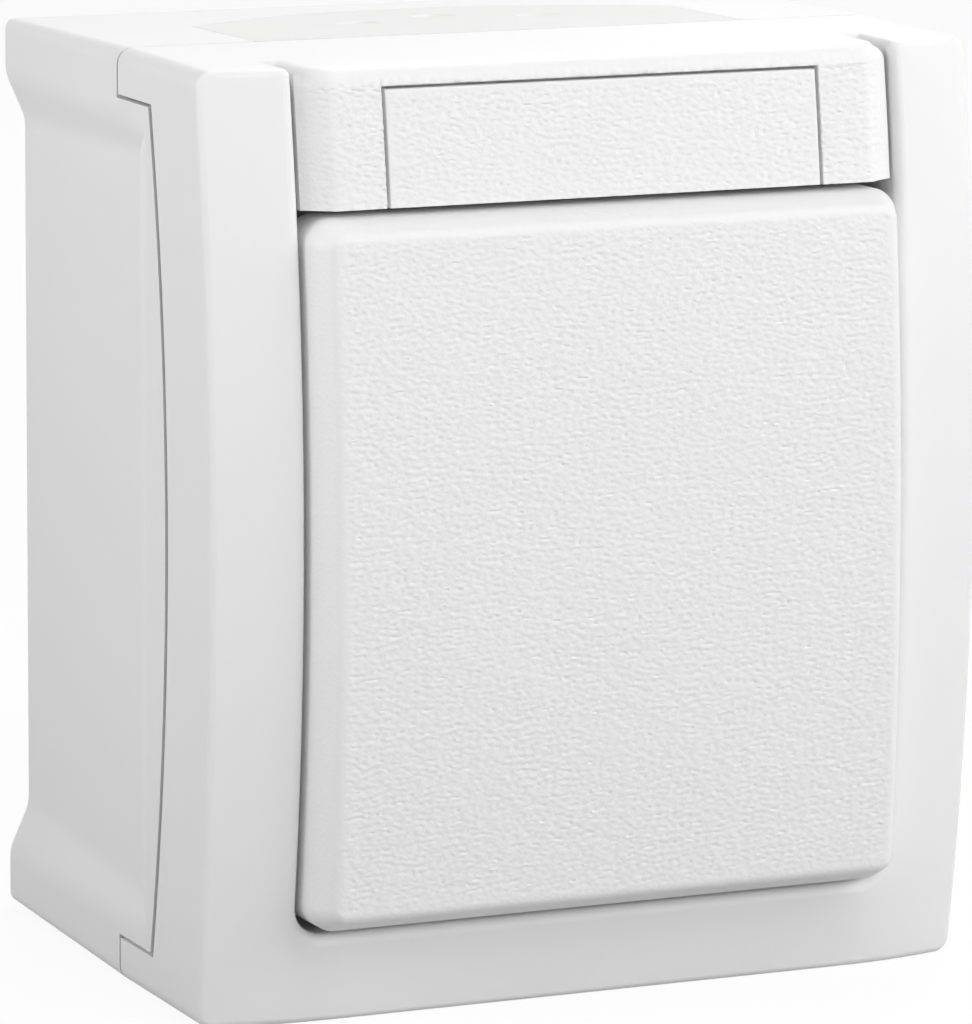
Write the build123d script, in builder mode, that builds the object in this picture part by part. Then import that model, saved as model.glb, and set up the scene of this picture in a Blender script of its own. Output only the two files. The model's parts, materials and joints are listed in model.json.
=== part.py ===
from build123d import *
from math import asin, cos, radians, sin, sqrt, tan
import os

os.makedirs("parts", exist_ok=True)

# Millimetres. X to the right, Y into the wall, Z up. The origin is the centre of the back face.
# A depth is counted from the wall towards the user, so a depth d lies at Y = -d.

# Overall form
width = 66.0
height = 75.0
corner_radius = 1.3
bow_radius = 220.0
seam_depth = 27.6
seam_gap = 0.25

# Back box
draft = 1.2
wall = 2.1
back_wall = 2.5
rear_edge_radius = 1.1
cavity_draft = 2.0
foot_height = 5.0
recess_depth = 1.7
recess_run = 3.8
recess_spread = 1.0
recess_radius = 3.5
ear_recess = 1.0
ear_recess_start = 4.3
ear_recess_run = 3.6
ear_notch = 3.9
ear_reach = 6.75
ear_gap = 0.6
notch_gap = 0.3
ear_crown = 3.4
wall_hole_spacing = 54.0
wall_hole_radius = 2.2
wall_hole_boss = 4.5
wall_hole_boss_height = 1.0

# Perimeter seal, on a ledge inside the box
ledge_width = 1.5
ledge_drop = 2.2
seal_thickness = 1.1
seal_width = 1.2
skirt_wall = 1.7
skirt_clearance = 0.3

# Cable entry membrane in the top wall
entry_half_width = 21.3
entry_straight = 13.6
entry_reach = 20.9
entry_rim = 1.5
entry_skin = 1.8
entry_clearance = 0.1
tongue_height = 0.8
tongue_thickness = 0.8
tongue_drop = 1.7
dimple_radius = 2.0
dimple_depth = 0.8
dimple_spacing = 8.0
dimple_row = 10.2
dimple_stagger = 3.1

# Cover frame
deck_rise = 10.2
deck_thickness = 1.8
crease_rise = 19.8
strip_rise = 1.55
strip_blend = 11.0
side_strip = 7.4
bottom_strip = 7.15
opening_corner = 2.4
crease_radius = 0.6
rim_radius = 0.8
core_depth = 5.0
core_wall = 1.8

# Label hood and its insert
hood_height = 10.75
hood_gap = 0.32
hood_proud = 0.7
hood_bevel = 2.3
hood_bevel_drop = 1.5
hood_skin = 1.8
hood_hollow = 4.0
hood_edge_radius = 1.4
nub_proud = 0.4
nub_length = 4.0
nub_thickness = 1.2
nub_rise = 2.4
nub_clearance = 0.1
insert_half_width = 18.4
insert_top_margin = 1.75
insert_thickness = 1.4
insert_gap = 0.25

# Rocker
rocker_gap = 0.32
rocker_end_gap = 0.65
rocker_proud = 2.85
rocker_bow = 300.0
rocker_bevel = 1.2
rocker_bevel_drop = 2.6
rocker_corner = 2.2
rocker_skin = 1.9
rocker_edge_radius = 0.9
skirt_lift = 4.4
cap_lean = 1.0
throw = 5.0

# Rocking carrier
pivot_rise = 3.9
trunnion_radius = 2.0
trunnion_length = 2.2
trunnion_clearance = 0.05
carrier_half_height = 9.0
carrier_rear = 1.2
carrier_front = 3.3
cheek_thickness = 2.4
cheek_radius = 3.2
tube_radius = 4.2
tube_reach = 12.5
leg_thickness = 1.8
leg_width = 10.0
hook_reach = 0.8
hook_height = 1.0
clip_gap = 0.1

# Plunger and spring
plunger_radius = 2.55
plunger_clearance = 0.08
plunger_tail = 7.5
plunger_shoulder = 14.0
nose_radius = 1.6
nose_gap = 0.1
bore_end = 1.3
spring_wire = 0.5
spring_pitch = 1.15
spring_gap = 0.1

# Switch base
base_half_height = 22.5
base_depth = 23.6
base_corner = 1.5
base_floor = 4.25
base_gasket_thickness = 1.2
well_half_width = 5.5
well_half_height = 12.6
bearing_clearance = 0.4
bearing_thickness = 2.4
bearing_radius = 3.4
bearing_inset = 2.4
deck_margin = 0.6
gasket_side = 1.5
gasket_end = 2.4
lug_reach = 9.0
lug_half_height = 4.0
lug_thickness = 2.4
lug_setback = 4.2
lug_hole_inset = 3.5

# Contacts
strip_thickness = 1.2
strip_half_width = 2.0
strip_clearance = 0.1
tip_radius = 1.8
tip_thickness = 0.6
tip_offset = 9.5
dome_radius = 1.5
dome_height = 0.9
bridge_half_width = 2.5
bridge_half_length = 11.2
bridge_rear = 0.2
bridge_front = 1.5
bridge_lean = 6.5
contact_gap = 0.07
saddle_radius = 0.8
saddle_clearance = 0.06
saddle_cheek = 0.8
saddle_cheek_gap = 0.3
saddle_cheek_half_height = 2.0

# Terminals
terminal_offset = 8.0
pillar_width = 6.4
pillar_length = 5.4
pillar_height = 9.0
pillar_clearance = 0.3
pocket_wall = 1.0
wire_radius = 1.6
wire_lift = 3.2
terminal_head_radius = 2.6
terminal_head_height = 2.0
terminal_screw_radius = 1.45
terminal_head_gap = 1.0

# Screws
screw_radius = 1.45
screw_clearance = 0.05
screw_head_radius = 2.8
screw_head_height = 2.0
screw_length = 18.0
screw_recess_width = 0.8
screw_recess_length = 3.6
screw_recess_depth = 1.1
base_screw_length = 14.0
post_radius = 3.0
pilot_margin = 2.0
washer_thickness = 0.8
washer_radius = 3.1
deck_hole_radius = 1.8
screw_side_clearance = 0.28
post_clearance = 1.0
upper_screw_drop = 8.0
lower_screw_rise = 13.5

# Depths and levels that follow from the sizes above
half_width = width / 2
half_height = height / 2
ledge_depth = seam_depth - ledge_drop
pocket_half_width = half_width - wall
pocket_half_height = half_height - wall
cavity_half_width = pocket_half_width - ledge_width
cavity_half_height = pocket_half_height - ledge_width
notch_level = half_height - ear_notch
tongue_level = half_height - tongue_drop
ceiling_level = cavity_half_height - ledge_depth * tan(radians(cavity_draft))
skirt_rear = ledge_depth + seal_thickness
skirt_half_width = pocket_half_width - skirt_clearance
skirt_half_height = pocket_half_height - skirt_clearance
deck_rear = seam_depth + deck_rise
deck_front = deck_rear + deck_thickness
crease_depth = seam_depth + crease_rise
frame_front = crease_depth + strip_rise
opening_half_width = half_width - side_strip
opening_bottom = bottom_strip - half_height
hood_bottom = half_height - hood_height
hood_front = frame_front + hood_proud
hood_half_width = opening_half_width - hood_gap
rocker_top = hood_bottom - rocker_end_gap
rocker_bottom = opening_bottom + rocker_end_gap
rocker_half_height = (rocker_top - rocker_bottom) / 2
rocker_half_width = opening_half_width - rocker_gap
pivot_level = (rocker_top + rocker_bottom) / 2
pivot_depth = deck_front + pivot_rise
rocker_front = frame_front + rocker_proud - pivot_depth
skirt_edge = deck_front + skirt_lift - pivot_depth
base_front = deck_rear - base_gasket_thickness
base_rear = base_front - base_depth
floor_depth = base_rear + base_floor
strip_front = floor_depth + strip_thickness
fixed_tip_front = strip_front + tip_thickness
dome_sphere = (dome_radius**2 + dome_height**2) / (2 * dome_height)
dome_centre = bridge_rear - dome_height + dome_sphere
bridge_pivot = (fixed_tip_front + contact_gap + dome_sphere
                + tip_offset * sin(radians(bridge_lean)) - dome_centre * cos(radians(bridge_lean)))
nose_centre = pivot_depth - bridge_pivot - bridge_front - nose_radius - nose_gap
upper_screw_x = hood_half_width - hood_skin - washer_radius - screw_side_clearance
lower_screw_x = rocker_half_width - rocker_skin - washer_radius - screw_side_clearance
base_half_width = lower_screw_x - post_radius - post_clearance
bearing_outer = base_half_width - bearing_inset
bearing_inner = bearing_outer - bearing_thickness
carrier_half_width = bearing_inner - bearing_clearance
hole_half_width = bearing_outer + deck_margin
terminal_level = base_half_height - pocket_wall - pillar_clearance - pillar_length / 2
lug_front = base_front - lug_setback
lug_rear = lug_front - lug_thickness
lug_hole_x = base_half_width + lug_reach - lug_hole_inset
cover_screw_places = [
    (-upper_screw_x, half_height - upper_screw_drop),
    (lower_screw_x, lower_screw_rise - half_height),
]
base_screw_places = [(-lug_hole_x, pivot_level), (lug_hole_x, pivot_level)]
terminal_places = [
    (-terminal_offset, pivot_level + terminal_level),
    (-terminal_offset, pivot_level - terminal_level),
    (terminal_offset, pivot_level - terminal_level),
]
wall_hole_places = [(0, wall_hole_spacing / 2), (0, -wall_hole_spacing / 2)]
bow_axis = Axis((0, bow_radius - frame_front, 0), (1, 0, 0))
bow_sweep = 14
past = 10.0
touch = 0.001


def facing(depth):
    # Plane parallel to the wall, looking at the user
    return Plane.XZ.offset(depth)


def turned(angle, depth, level):
    # Face, plan and side planes of a piece that is turned about an axis along X
    lean = radians(angle)
    origin = (0, -depth, level)
    face = Plane(origin, x_dir=(1, 0, 0), z_dir=(0, -cos(lean), -sin(lean)))
    plan = Plane(origin, x_dir=(1, 0, 0), z_dir=(0, -sin(lean), cos(lean)))
    side = Plane(origin, x_dir=(0, cos(lean), sin(lean)), z_dir=(1, 0, 0))
    return face, plan, side


def sagitta(radius, half_chord):
    return radius - sqrt(radius**2 - half_chord**2)


def write(builder, name):
    builder.part.label = name
    export_step(builder.part, "parts/" + name + ".step")


def bowed_plate(half_across, rear, front, low, high):
    # Plate that follows the bow of the front, between two levels
    with BuildPart() as plate:
        with BuildSketch(Plane.XY):
            with Locations((0, -(rear + front) / 2)):
                Rectangle(2 * half_across, front - rear)
        revolve(axis=bow_axis, revolution_arc=bow_sweep)
        mirror(about=Plane.XY)
        with BuildSketch(facing(0)):
            with Locations((0, (low + high) / 2)):
                Rectangle(4 * half_across, high - low)
        extrude(amount=2 * front, mode=Mode.INTERSECT)
    return plate.part


def entry_outline(inset, front):
    # The membrane in plan: straight sides back from the seam, closed by an arc at the rear
    across = entry_half_width - inset
    side_end = entry_straight - seam_depth
    with BuildSketch() as outline:
        with BuildLine():
            Polyline((-across, side_end), (-across, -front), (across, -front), (across, side_end))
            ThreePointArc((across, side_end), (0, entry_reach - inset - seam_depth), (-across, side_end))
        make_face()
    return outline.sketch


def ear_outline(beside, ahead):
    # Side view of the ears, with a bowed front edge between the notches, grown at its ends and in front
    level = notch_level + beside
    root = seam_depth + ear_reach + ahead
    with BuildSketch() as outline:
        with BuildLine():
            Polyline((-root, level), (-seam_depth, level), (-seam_depth, -level), (-root, -level))
            ThreePointArc((-root, -level), (-root - ear_crown, 0), (-root, level))
        make_face()
    return outline.sketch


def fixed_strip_outline(side, grow):
    # A fixed contact seen from the front: a leg under the tip and a pad under the terminal pillar
    leg_end = terminal_level + pillar_length / 2
    leg_start = tip_offset - tip_radius
    pad_edge = terminal_offset + pillar_width / 2
    pad_width = pad_edge + strip_half_width
    with BuildSketch() as outline:
        with Locations((0, pivot_level + side * (leg_start + leg_end) / 2)):
            Rectangle(2 * strip_half_width + 2 * grow, leg_end - leg_start + 2 * grow)
        with Locations((strip_half_width - pad_width / 2, pivot_level + side * terminal_level)):
            Rectangle(pad_width + 2 * grow, pillar_length + 2 * grow)
    return outline.sketch


def common_strip_outline(grow):
    # The common strip seen from the front: from under the bridge to the side, then down to its pillar
    left = bridge_half_width + saddle_cheek_gap + saddle_cheek
    right = terminal_offset + strip_half_width
    drop = terminal_level + strip_half_width
    with BuildSketch() as outline:
        with Locations(((right - left) / 2, pivot_level)):
            Rectangle(left + right + 2 * grow, 2 * strip_half_width + 2 * grow)
        with Locations((terminal_offset, pivot_level - terminal_level / 2)):
            Rectangle(2 * strip_half_width + 2 * grow, drop + strip_half_width + 2 * grow)
        with Locations((terminal_offset, pivot_level - terminal_level)):
            Rectangle(pillar_width + 2 * grow, pillar_length + 2 * grow)
    return outline.sketch


def screw_set(places, seat, head_radius, head_height, shank_radius, length):
    # Round-headed screws with a cross recess, their heads seated at a depth
    with BuildPart() as screws:
        with BuildSketch(facing(seat)):
            with Locations(*places):
                Circle(head_radius)
        extrude(amount=head_height)
        chamfer(screws.edges().group_by(Axis.Y)[0], head_height * 0.3)
        with BuildSketch(facing(seat)):
            with Locations(*places):
                Circle(shank_radius)
        extrude(amount=-length)
        with BuildSketch(facing(seat + head_height)):
            with Locations(*places):
                Rectangle(screw_recess_length, screw_recess_width)
                Rectangle(screw_recess_width, screw_recess_length)
        extrude(amount=-screw_recess_depth, mode=Mode.SUBTRACT)
    return screws


# Side recess of the box: between the feet the wall steps in on ramps, and it comes out again before the ears' ends
recess_end = seam_depth + ear_reach - ear_recess_start
with BuildPart() as side_recess:
    recess_floor = half_width - seam_depth * tan(radians(draft)) - recess_depth
    floor_end = half_width - ear_recess
    recess_level = half_height - foot_height - recess_run
    outside = half_width + past
    flare = (outside - recess_floor) * recess_run / recess_depth
    with BuildSketch(facing(0)):
        with BuildLine():
            Polyline(
                (recess_floor, -past),
                (recess_floor, recess_level),
                (outside, recess_level + flare),
                (outside, -past),
                close=True,
            )
        make_face()
    extrude(amount=2 * recess_end, dir=(floor_end - recess_floor, -recess_end, recess_spread))
    mirror(about=Plane.XY)
    with BuildSketch(Plane.XY):
        with BuildLine():
            slant = ear_recess_run / ear_recess
            Polyline(
                (floor_end - ear_recess, slant * ear_recess - recess_end),
                (outside, slant * (floor_end - outside) - recess_end),
                (outside, slant * (floor_end - outside) - recess_end - past),
                (floor_end - ear_recess, slant * (floor_end - outside) - recess_end - past),
                close=True,
            )
        make_face()
    extrude(amount=2 * height, both=True, mode=Mode.SUBTRACT)
    recess_face = side_recess.faces().sort_by(Axis.X)[0]
    fillet(recess_face.edges().sort_by(Axis.Y)[:-1], recess_radius)
    mirror(about=Plane.YZ)


def bounds_recess(edge):
    # Whether an edge lies on the side of the box, between the side and a ramp
    depth = -edge.center().Y
    side = half_width - max(seam_depth - depth, 0) * tan(radians(draft))
    beside = abs(abs(edge.center().X) - side) < touch and abs(edge.center().Z) < notch_level - touch
    return beside and touch < depth < seam_depth + ear_reach and abs(depth - seam_depth) > touch


# Wall of the box before its cut-outs: a drafted block with ears, hollowed to a ledge for the seal
with BuildPart() as box_wall:
    with BuildSketch(-facing(seam_depth)):
        RectangleRounded(width, height, corner_radius)
    extrude(amount=seam_depth, taper=draft)
    with BuildSketch(Plane.YZ.offset(pocket_half_width)):
        add(ear_outline(0, 0))
    extrude(amount=wall)
    mirror(about=Plane.YZ)
    add(side_recess.part, mode=Mode.SUBTRACT)
    ramp_edges = box_wall.edges().filter_by(bounds_recess)
    fillet(ramp_edges, recess_radius)
    fillet(box_wall.faces().sort_by(Axis.Y)[-1].edges(), rear_edge_radius)
    with BuildSketch(-facing(ledge_depth)):
        RectangleRounded(2 * cavity_half_width, 2 * cavity_half_height, corner_radius)
    extrude(amount=ledge_depth - back_wall, taper=cavity_draft, mode=Mode.SUBTRACT)
    with BuildSketch(facing(ledge_depth)):
        RectangleRounded(2 * pocket_half_width, 2 * pocket_half_height, corner_radius)
    extrude(amount=ear_reach + ear_crown + past, mode=Mode.SUBTRACT)

# Back box: posts, wall holes and the cut-out for the membrane, with a tongue round its edge
with BuildPart() as back_box:
    add(box_wall.part)
    with BuildSketch(facing(back_wall / 2)):
        with Locations(*cover_screw_places):
            Circle(post_radius)
    extrude(amount=deck_rear - back_wall / 2)
    with BuildSketch(facing(back_wall / 2)):
        with Locations(*base_screw_places):
            Circle(post_radius)
    extrude(amount=lug_rear - back_wall / 2)
    with BuildSketch(facing(back_wall / 2)):
        with Locations(*wall_hole_places):
            Circle(wall_hole_boss)
    extrude(amount=back_wall / 2 + wall_hole_boss_height)
    with BuildSketch(facing(0)):
        with Locations(*wall_hole_places):
            Circle(wall_hole_radius)
    extrude(amount=back_wall + wall_hole_boss_height, mode=Mode.SUBTRACT)
    with BuildSketch(facing(deck_rear)):
        with Locations(*cover_screw_places):
            Circle(screw_radius + screw_clearance)
    extrude(amount=-(screw_length - washer_thickness - deck_thickness + pilot_margin), mode=Mode.SUBTRACT)
    with BuildSketch(facing(lug_rear)):
        with Locations(*base_screw_places):
            Circle(screw_radius + screw_clearance)
    extrude(amount=-(base_screw_length - lug_thickness + pilot_margin), mode=Mode.SUBTRACT)
    with BuildSketch(Plane.XY.offset(ceiling_level)):
        add(entry_outline(0, seam_depth + past))
    extrude(amount=tongue_level - ceiling_level, mode=Mode.SUBTRACT)
    with BuildSketch(Plane.XY.offset(tongue_level)):
        add(entry_outline(tongue_height, seam_depth + past))
    extrude(amount=tongue_thickness, mode=Mode.SUBTRACT)
    with BuildSketch(Plane.XY.offset(tongue_level + tongue_thickness)):
        add(entry_outline(0, seam_depth + past))
    extrude(amount=past, mode=Mode.SUBTRACT)
write(back_box, "back_box")

# Entry membrane: the same wall section inside the cut-out, grooved for the tongue and hollow below
dimple_places = [
    (-dimple_spacing, seam_depth - dimple_row),
    (0, seam_depth - dimple_row - dimple_stagger),
    (dimple_spacing, seam_depth - dimple_row),
]
with BuildPart() as membrane:
    add(box_wall.part)
    with BuildSketch(Plane.XY.offset(cavity_half_height - past)):
        add(entry_outline(entry_clearance, seam_depth))
    extrude(amount=2 * past, mode=Mode.INTERSECT)
    with BuildSketch(Plane.XY.offset(tongue_level - entry_clearance)):
        add(entry_outline(-past, seam_depth + past))
        add(entry_outline(tongue_height + entry_clearance, seam_depth + past), mode=Mode.SUBTRACT)
    extrude(amount=tongue_thickness + 2 * entry_clearance, mode=Mode.SUBTRACT)
    with BuildSketch(Plane.XY.offset(cavity_half_height - past)):
        add(entry_outline(tongue_height + 2 * entry_clearance + entry_rim, ledge_depth - entry_rim))
    extrude(amount=half_height - entry_skin - cavity_half_height + past, mode=Mode.SUBTRACT)
    for across, depth in dimple_places:
        surface = half_height - (seam_depth - depth) * tan(radians(draft))
        with Locations((across, -depth, surface)):
            Cone(dimple_radius / 4, dimple_radius, dimple_depth,
                 align=(Align.CENTER, Align.CENTER, Align.MAX), mode=Mode.SUBTRACT)
write(membrane, "entry_membrane")

# Perimeter seal: a flat ring on the box's ledge, under the cover's skirt
with BuildPart() as seal:
    with BuildSketch(facing(ledge_depth)):
        RectangleRounded(2 * skirt_half_width, 2 * skirt_half_height, corner_radius)
        RectangleRounded(2 * (skirt_half_width - seal_width), 2 * (skirt_half_height - seal_width),
                         corner_radius, mode=Mode.SUBTRACT)
    extrude(amount=seal_thickness)
write(seal, "box_seal")

# Bowed front of the cover, as a block that reaches past its sides: strips that rise inwards to a level middle
strip_end = half_width - strip_blend
with BuildPart() as cover_front:
    strip_radius = (strip_blend**2 + strip_rise**2) / (2 * strip_rise)
    rim_depth = frame_front - sagitta(strip_radius, strip_blend + wall)
    with BuildSketch(Plane.XY):
        with BuildLine():
            Line((-strip_end, -frame_front), (strip_end, -frame_front))
            TangentArc((strip_end, -frame_front), (half_width + wall, -rim_depth), tangent=(1, 0))
            Polyline(
                (half_width + wall, -rim_depth),
                (half_width + wall, 0),
                (-half_width - wall, 0),
                (-half_width - wall, -rim_depth),
            )
            TangentArc((-strip_end, -frame_front), (-half_width - wall, -rim_depth), tangent=(-1, 0))
        make_face()
    revolve(axis=bow_axis, revolution_arc=bow_sweep)
    mirror(about=Plane.XY)

# Cover frame: outer shell notched for the ears, a skirt down to the seal and a deck behind the rocker
with BuildPart() as cover:
    with BuildSketch(facing(seam_depth + seam_gap)):
        RectangleRounded(width, height, corner_radius)
    extrude(amount=frame_front)
    add(cover_front.part, mode=Mode.INTERSECT)
    # Recess for the hood and the rocker, open through the top edge
    opening_top = half_height + past
    with BuildSketch(facing(deck_front)) as opening:
        with Locations((0, (opening_bottom + opening_top) / 2)):
            Rectangle(2 * opening_half_width, opening_top - opening_bottom)
        fillet(opening.vertices().group_by(Axis.Y)[0], opening_corner)
    extrude(amount=frame_front, mode=Mode.SUBTRACT)
    inner_rim = cover.edges().filter_by(
        lambda edge: -edge.center().Y > crease_depth - 2 * strip_rise
        and abs(edge.center().X) < opening_half_width + touch
        and opening_bottom - touch < edge.center().Z < half_height - crease_radius
    )
    fillet(inner_rim, rim_radius)
    outer_rim = cover.edges().filter_by(
        lambda edge: -edge.center().Y > deck_front
        and (abs(edge.center().X) > opening_half_width + rim_radius
             or abs(edge.center().Z) > half_height - rim_radius)
    )
    fillet(outer_rim, crease_radius)
    with BuildSketch(Plane.YZ):
        add(ear_outline(notch_gap, ear_gap))
    extrude(amount=width, both=True, mode=Mode.SUBTRACT)
    with BuildSketch(facing(skirt_rear)):
        RectangleRounded(2 * skirt_half_width, 2 * skirt_half_height, corner_radius)
    extrude(amount=deck_front - skirt_rear)
    with BuildSketch(facing(skirt_rear)):
        RectangleRounded(2 * (skirt_half_width - skirt_wall), 2 * (skirt_half_height - skirt_wall),
                         corner_radius)
    extrude(amount=deck_rear - skirt_rear, mode=Mode.SUBTRACT)
    # Cores behind the side strips, to keep the walls even
    core_width = skirt_half_width - skirt_wall - opening_half_width - core_wall
    core_top = skirt_half_height - skirt_wall
    with BuildSketch(facing(deck_rear)):
        for side in (-1, 1):
            with Locations((side * (opening_half_width + core_wall + core_width / 2), 0)):
                Rectangle(core_width, 2 * core_top - 2 * corner_radius)
    extrude(amount=core_depth, mode=Mode.SUBTRACT)
    # Openings in the deck for the mechanism and the cover screws
    with BuildSketch(facing(deck_rear)):
        with Locations((0, pivot_level)):
            Rectangle(2 * hole_half_width, 2 * well_half_height)
        with Locations(*cover_screw_places):
            Circle(deck_hole_radius)
    extrude(amount=deck_thickness, mode=Mode.SUBTRACT)
    # Snap recesses for the hood's nubs
    for side in (-1, 1):
        with Locations((side * opening_half_width, -(deck_front + nub_rise), hood_bottom + hood_height / 2)):
            Box(2 * (nub_proud + nub_clearance), nub_thickness + 2 * nub_clearance,
                nub_length + 2 * nub_clearance, mode=Mode.SUBTRACT)
write(cover, "cover_frame")

# Label hood: bevelled at its sides, rounded over the top edge, with a seat for the insert
with BuildPart() as hood_form:
    with BuildSketch(Plane.XY):
        with BuildLine():
            Polyline(
                (-hood_half_width, 0),
                (-hood_half_width, hood_bevel_drop - hood_front),
                (hood_bevel - hood_half_width, -hood_front),
                (hood_half_width - hood_bevel, -hood_front),
                (hood_half_width, hood_bevel_drop - hood_front),
                (hood_half_width, 0),
                close=True,
            )
        make_face()
    revolve(axis=bow_axis, revolution_arc=bow_sweep)
    mirror(about=Plane.XY)

hood_middle = hood_bottom + hood_height / 2
insert_top = half_height - insert_top_margin
insert_rear = hood_front - insert_thickness
insert_seat = bowed_plate(insert_half_width + insert_gap, insert_rear - insert_gap, hood_front + past,
                          hood_bottom - past, insert_top + insert_gap)
insert_form = bowed_plate(insert_half_width, insert_rear, hood_front, hood_bottom, insert_top)
with BuildPart() as hood:
    with BuildSketch(facing(deck_front)):
        with Locations((0, hood_middle)):
            Rectangle(2 * hood_half_width, hood_height)
    extrude(amount=hood_front)
    add(hood_form.part, mode=Mode.INTERSECT)
    over = hood.faces().sort_by(Axis.Z)[-1].edges().sort_by(Axis.Y)[:-1]
    fillet(over, hood_edge_radius)
    with BuildSketch(facing(deck_front)):
        with Locations((0, hood_middle - hood_skin / 2)):
            Rectangle(2 * (hood_half_width - hood_skin), hood_height - hood_skin)
    extrude(amount=hood_hollow, mode=Mode.SUBTRACT)
    add(insert_seat, mode=Mode.SUBTRACT)
    for side in (-1, 1):
        with Locations((side * hood_half_width, -(deck_front + nub_rise), hood_middle)):
            Box(2 * (nub_proud + hood_gap - nub_clearance), nub_thickness, nub_length)
write(hood, "label_hood")

with BuildPart() as label:
    add(insert_form)
write(label, "label_insert")

# Rocker cap: outline, side bevels that follow the bow, end bevels, then the hollow and the clip legs
cap_face, cap_plan, cap_side = turned(-cap_lean, pivot_depth, pivot_level)
carrier_face, _, carrier_side = turned(-throw / 2, pivot_depth, pivot_level)
cap_axis = Axis(cap_face.from_local_coords((0, 0, rocker_front - rocker_bow)), (1, 0, 0))
cap_end = rocker_front - sagitta(rocker_bow, rocker_half_height - rocker_bevel)
with BuildPart() as cap_sides:
    with BuildSketch(cap_plan):
        with BuildLine():
            Polyline(
                (-rocker_half_width, past),
                (-rocker_half_width, rocker_bevel_drop - rocker_front),
                (rocker_bevel - rocker_half_width, -rocker_front),
                (rocker_half_width - rocker_bevel, -rocker_front),
                (rocker_half_width, rocker_bevel_drop - rocker_front),
                (rocker_half_width, past),
                close=True,
            )
        make_face()
    revolve(axis=cap_axis, revolution_arc=bow_sweep)
    mirror(about=cap_plan)

with BuildPart() as cap_hollow:
    with BuildSketch(cap_face.offset(skirt_edge)):
        Rectangle(2 * (rocker_half_width - rocker_skin), 2 * (rocker_half_height - rocker_skin))
    extrude(amount=rocker_front)
    with BuildSketch(cap_side):
        with BuildLine():
            inner_end = rocker_front - rocker_skin - sagitta(rocker_bow, rocker_half_height)
            Polyline((-inner_end, rocker_half_height), (past, rocker_half_height),
                     (past, -rocker_half_height), (-inner_end, -rocker_half_height))
            ThreePointArc((-inner_end, -rocker_half_height), (rocker_skin - rocker_front, 0),
                          (-inner_end, rocker_half_height))
        make_face()
    extrude(amount=width, both=True, mode=Mode.INTERSECT)

leg_start = carrier_rear - clip_gap - hook_height
leg_end = rocker_front - rocker_skin / 2
with BuildPart() as rocker:
    with BuildSketch(cap_face.offset(skirt_edge)):
        RectangleRounded(2 * rocker_half_width, 2 * rocker_half_height, rocker_corner)
    extrude(amount=rocker_front)
    add(cap_sides.part, mode=Mode.INTERSECT)
    with BuildSketch(cap_side):
        with BuildLine():
            bevel_start = rocker_half_height - rocker_bevel
            Polyline(
                (-cap_end, bevel_start),
                (rocker_bevel_drop - cap_end, rocker_half_height),
                (past, rocker_half_height),
                (past, -rocker_half_height),
                (rocker_bevel_drop - cap_end, -rocker_half_height),
                (-cap_end, -bevel_start),
            )
            ThreePointArc((-cap_end, -bevel_start), (-rocker_front, 0), (-cap_end, bevel_start))
        make_face()
    extrude(amount=width, both=True, mode=Mode.INTERSECT)
    fillet(rocker.faces().sort_by(Axis.Y)[0].edges(), rocker_edge_radius)
    add(cap_hollow.part, mode=Mode.SUBTRACT)
    for side in (-1, 1):
        with BuildSketch(carrier_face.offset(leg_start)):
            with Locations((0, side * (carrier_half_height + clip_gap + leg_thickness / 2))):
                Rectangle(leg_width, leg_thickness)
        extrude(amount=leg_end - leg_start)
        with BuildSketch(carrier_face.offset(leg_start)):
            with Locations((0, side * (carrier_half_height + clip_gap - hook_reach / 2))):
                Rectangle(leg_width, hook_reach)
        extrude(amount=hook_height)
        with BuildSketch(carrier_face.offset(carrier_front)):
            with Locations((0, side * carrier_half_height / 2)):
                Rectangle(2 * carrier_half_width - 2 * cheek_thickness, leg_thickness)
        extrude(amount=leg_end - carrier_front)
write(rocker, "rocker")

# Carrier: a plate on two cheeks with trunnions, and a tube for the plunger
bore_radius = plunger_radius + plunger_clearance
with BuildPart() as carrier:
    with BuildSketch(carrier_face.offset(carrier_rear)):
        Rectangle(2 * carrier_half_width, 2 * carrier_half_height)
    extrude(amount=carrier_front - carrier_rear)
    with BuildSketch(carrier_side.offset(carrier_half_width - cheek_thickness)):
        Circle(cheek_radius)
        with Locations((-carrier_front / 2, 0)):
            Rectangle(carrier_front, 2 * cheek_radius)
    extrude(amount=cheek_thickness)
    with BuildSketch(carrier_side.offset(carrier_half_width)):
        Circle(trunnion_radius)
    extrude(amount=trunnion_length)
    mirror(about=Plane.YZ)
    with BuildSketch(carrier_face.offset(-tube_reach)):
        Circle(tube_radius)
    extrude(amount=tube_reach + carrier_rear)
    with BuildSketch(carrier_face.offset(-tube_reach)):
        Circle(bore_radius)
    extrude(amount=tube_reach + bore_end, mode=Mode.SUBTRACT)
write(carrier, "rocker_carrier")

# Plunger: a stem in the tube, stepped to a round nose
with BuildPart() as plunger:
    with BuildSketch(carrier_face.offset(-plunger_shoulder)):
        Circle(plunger_radius)
    extrude(amount=plunger_shoulder - plunger_tail)
    with BuildSketch(carrier_face.offset(-nose_centre)):
        Circle(nose_radius)
    extrude(amount=nose_centre - plunger_shoulder)
    with Locations(carrier_face.from_local_coords((0, 0, -nose_centre))):
        Sphere(nose_radius)
write(plunger, "plunger")

# Plunger spring, between the plunger's tail and the end of the bore
spring_radius = bore_radius - spring_gap - spring_wire / 2
spring_start = spring_gap + spring_wire / 2 - plunger_tail
spring_height = bore_end - spring_gap - spring_wire / 2 - spring_start
with BuildPart() as spring:
    with BuildLine() as coil:
        Helix(spring_pitch, spring_height, spring_radius,
              center=carrier_face.from_local_coords((0, 0, spring_start)), direction=carrier_face.z_dir)
    with BuildSketch(Plane(coil.line @ 0, z_dir=coil.line % 0)):
        RegularPolygon(spring_wire / 2, 8)
    sweep(is_frenet=True)
write(spring, "plunger_spring")

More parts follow.
